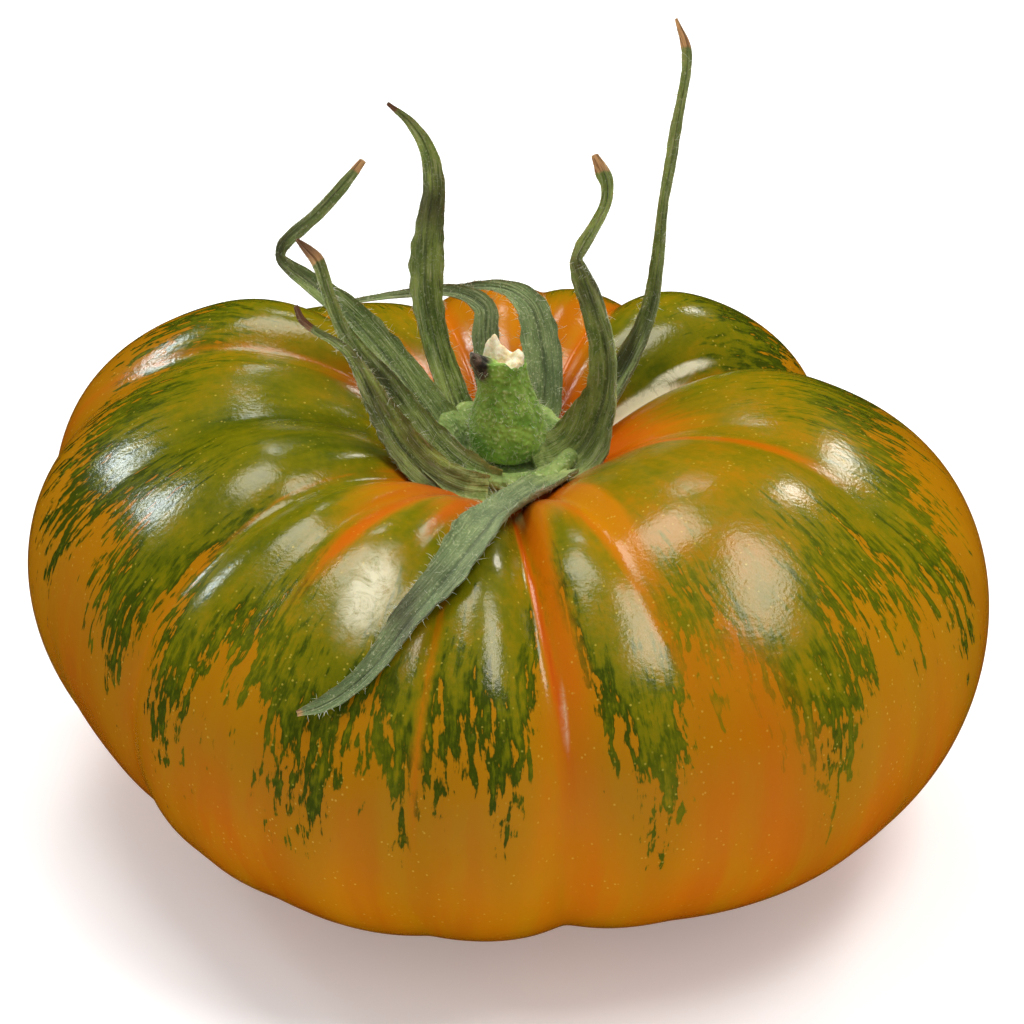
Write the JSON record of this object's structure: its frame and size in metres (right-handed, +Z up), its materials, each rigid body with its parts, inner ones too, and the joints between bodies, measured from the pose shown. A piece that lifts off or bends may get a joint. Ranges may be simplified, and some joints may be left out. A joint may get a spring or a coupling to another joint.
{
  "type": "tomato",
  "caption": "Ribbed beefsteak tomato, green-streaked orange skin, dried sepals and a snapped stalk stub in its hollow top, resting on a flattened base.",
  "frame": {"origin": "middle of the flat spot on the underside that the fruit rests on, under the axis of the stalk", "axes": "+Z up along the stalk, -Y towards the front, where the lying sepal is, +X to the right"},
  "size_m": [0.1039, 0.1, 0.0889],
  "materials": {
    "skin": "glossy",
    "calyx_flesh": "matte, fuzzy",
    "stalk_skin": "matte, fuzzy",
    "torn_pith": "matte, fibrous",
    "dried_leaf": "matte, fuzzy, ridged"
  },
  "bodies": {
    "root": {"fruit": "skin", "calyx_base": "calyx_flesh", "stalk": "stalk_skin", "stalk_pith": "torn_pith", "sepal_right_kinked": "dried_leaf", "sepal_right_long": "dried_leaf", "sepal_back_right": "dried_leaf", "sepal_back_left": "dried_leaf", "sepal_upright": "dried_leaf", "sepal_left_kinked": "dried_leaf", "sepal_left_broad": "dried_leaf", "sepal_left_withered": "dried_leaf", "sepal_front": "dried_leaf"}
  },
  "joints": []
}
